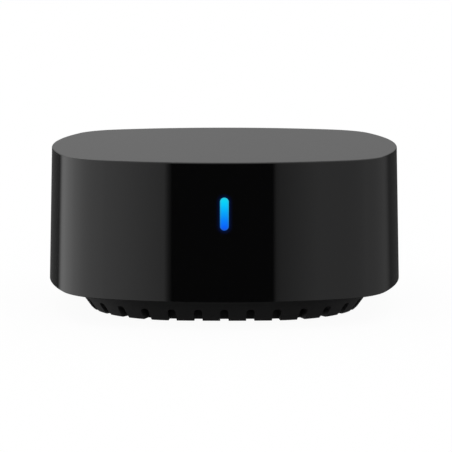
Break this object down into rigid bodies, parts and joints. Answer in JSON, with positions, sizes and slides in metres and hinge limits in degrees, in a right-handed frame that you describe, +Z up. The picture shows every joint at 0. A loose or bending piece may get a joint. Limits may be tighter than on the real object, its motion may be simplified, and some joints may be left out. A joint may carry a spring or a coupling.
{
  "type": "smart ir blaster",
  "caption": "Low squarish-round infrared blaster puck with a gloss shell, a front light pill, a tapered vented base, a rear power inlet and a reset button.",
  "frame": {"origin": "middle of the rubber foot's underside, on the surface that the puck stands on", "axes": "+Z up, the front with the light pill faces -Y, the rear with the inlet faces +Y, +X to the right seen from the front"},
  "size_m": [0.066, 0.066, 0.0299],
  "materials": {
    "shell_black": "gloss sides, satin top",
    "base_black": "fine matt moulded texture",
    "foot_rubber": "matt rubber",
    "screw_steel": "zinc-plated steel",
    "pill_light": "clear diffusing plastic, lit blue",
    "white_plastic": "matt white moulding",
    "board_green": "green solder mask",
    "led_package": "white ceramic package",
    "emitter_lens": "dark tinted clear epoxy",
    "tinned_metal": "bright tin plate",
    "chip_black": "black epoxy",
    "module_blue": "blue solder mask",
    "capacitor_can": "satin can",
    "chip_ceramic": "tan ceramic",
    "button_black": "satin moulded plastic"
  },
  "bodies": {
    "housing": {"upper_shell": "shell_black", "base_cover": "base_black", "foot_pad": "foot_rubber", "housing_screws": "screw_steel", "indicator_lens": "pill_light", "light_baffle": "white_plastic", "indicator_board": "board_green", "indicator_leds": "led_package", "main_board": "board_green", "ir_led_front_right": "emitter_lens", "ir_led_right": "emitter_lens", "ir_led_rear_right": "emitter_lens", "ir_led_rear_left": "emitter_lens", "ir_led_left": "emitter_lens", "ir_led_front_left": "emitter_lens", "ir_led_top": "emitter_lens", "ir_led_leads": "tinned_metal", "ir_receiver": "chip_black", "ir_receiver_leads": "tinned_metal", "wifi_module_board": "module_blue", "wifi_shield_can": "tinned_metal", "voltage_regulator": "chip_black", "bulk_capacitor": "capacitor_can", "driver_transistors": "chip_black", "chip_resistors": "chip_black", "chip_capacitors": "chip_ceramic", "usb_socket_shell": "tinned_metal", "usb_socket_tongue": "chip_black", "reset_switch": "tinned_metal"},
    "reset": {"reset_button": "button_black", "reset_plunger": "chip_black"}
  },
  "joints": [
    {"name": "reset_press", "type": "slide", "parent": "housing", "child": "reset", "axis": [0, -1, 0], "range_m": [0, 0.0003], "stiffness_N_per_m": 5000}
  ]
}
